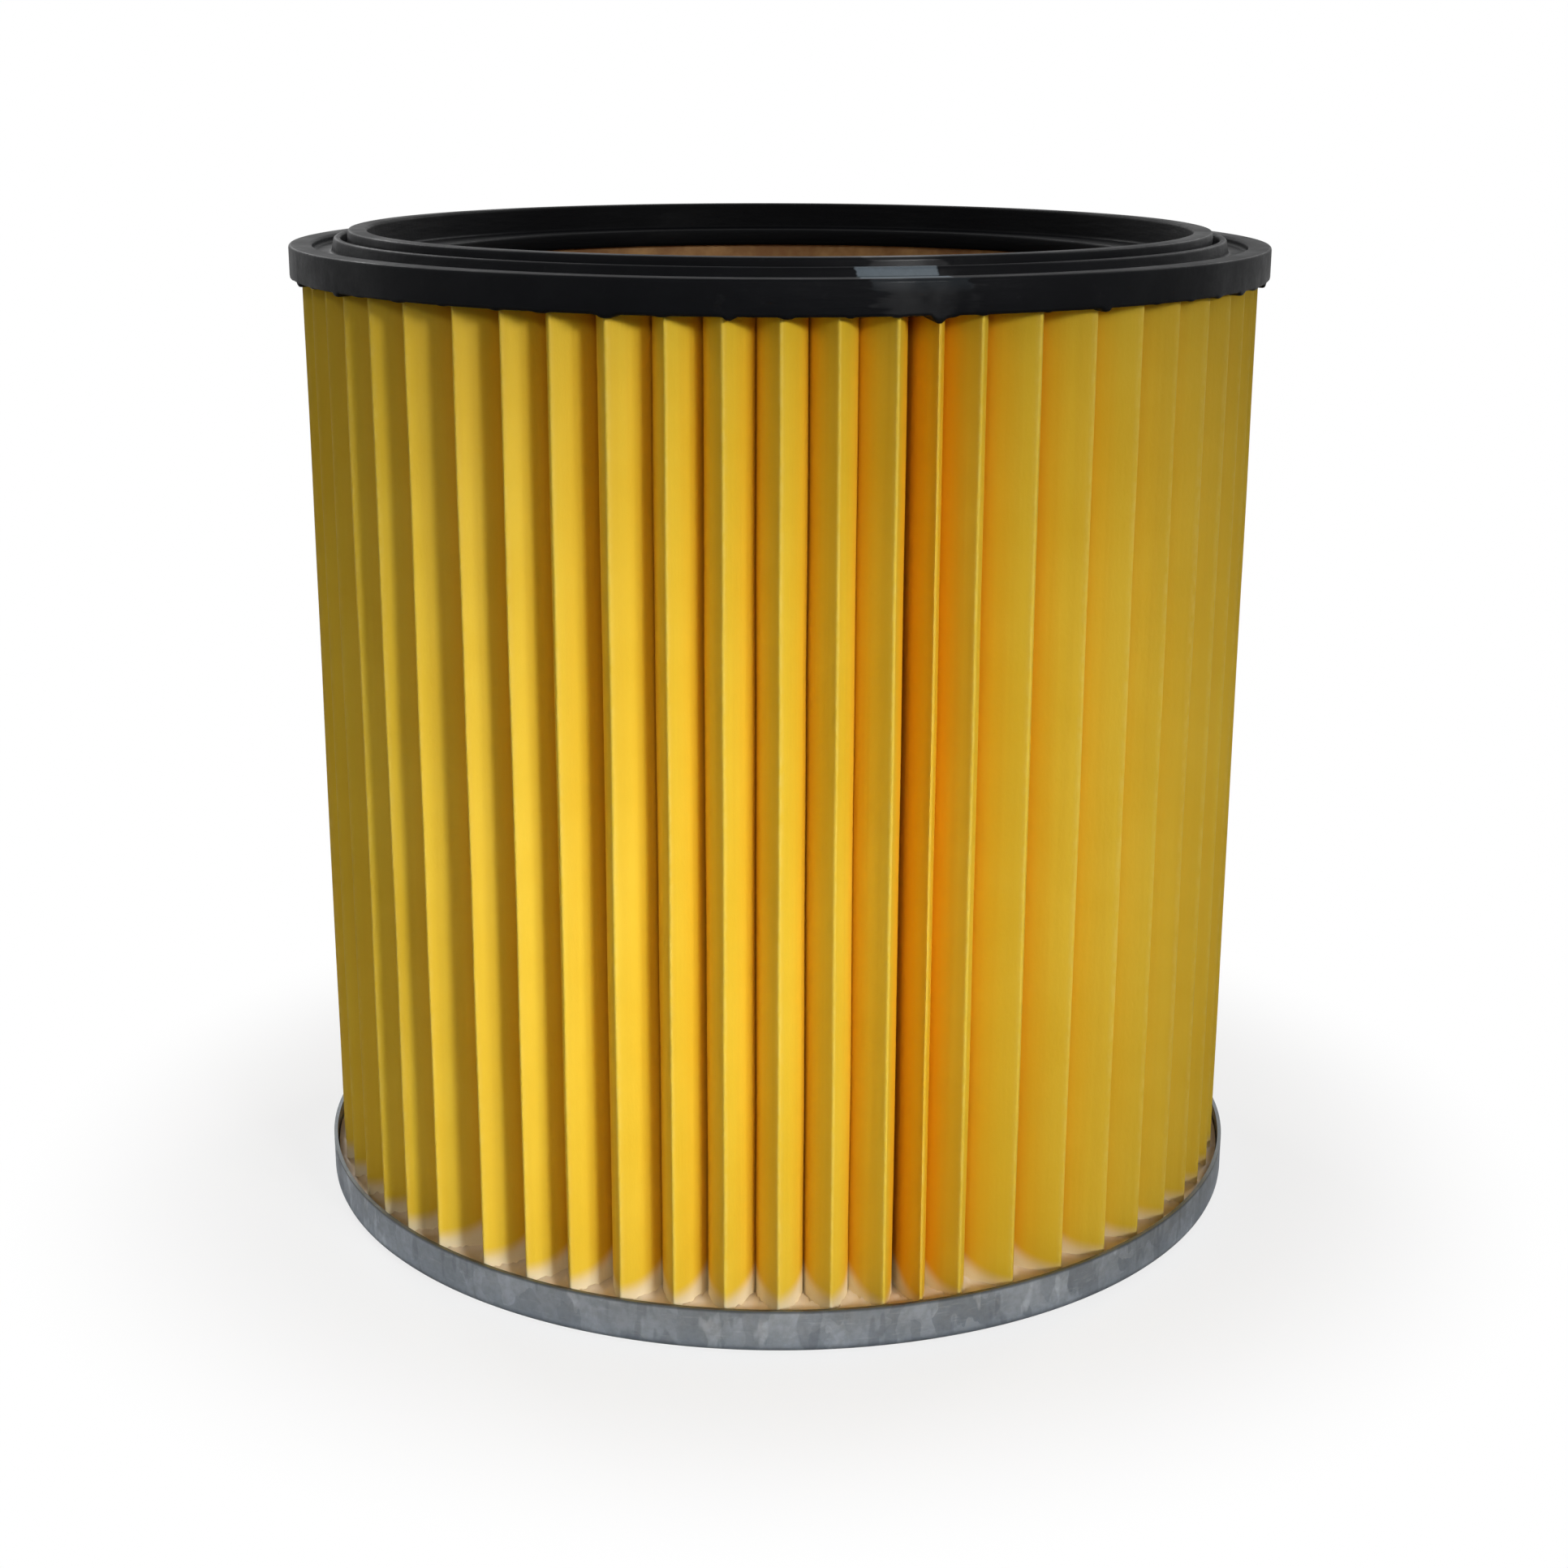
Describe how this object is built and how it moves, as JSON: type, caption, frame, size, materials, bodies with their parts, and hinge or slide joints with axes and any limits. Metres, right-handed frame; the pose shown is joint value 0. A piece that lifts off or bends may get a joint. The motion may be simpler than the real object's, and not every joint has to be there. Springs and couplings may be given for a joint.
{
  "type": "pleated dust filter cartridge",
  "caption": "Cylindrical pleated filter cartridge with a cast rubber sealing ring and open bore at the top, an expanded steel core, and a closed pressed steel cap potted below.",
  "frame": {"origin": "centre of the bottom cap's underside, on the cartridge's axis", "axes": "+Z along the cartridge's axis towards the sealing ring; -Y is the front, with the sheet's seam 16 degrees to the +X side of it"},
  "size_m": [0.184, 0.184, 0.188],
  "materials": {
    "black_rubber": "satin cast polyurethane rubber",
    "filter_paper": "matt yellow resin-treated filter paper",
    "seam_glue": "amber hardened glue",
    "core_steel": "dull bare expanded steel",
    "potting_resin": "cream casting resin",
    "cap_steel": "galvanised, dull and spangled"
  },
  "bodies": {
    "root": {"top_seal_ring": "black_rubber", "pleated_media": "filter_paper", "media_seam_glue": "seam_glue", "support_core": "core_steel", "bottom_potting": "potting_resin", "bottom_cap": "cap_steel"}
  },
  "joints": []
}
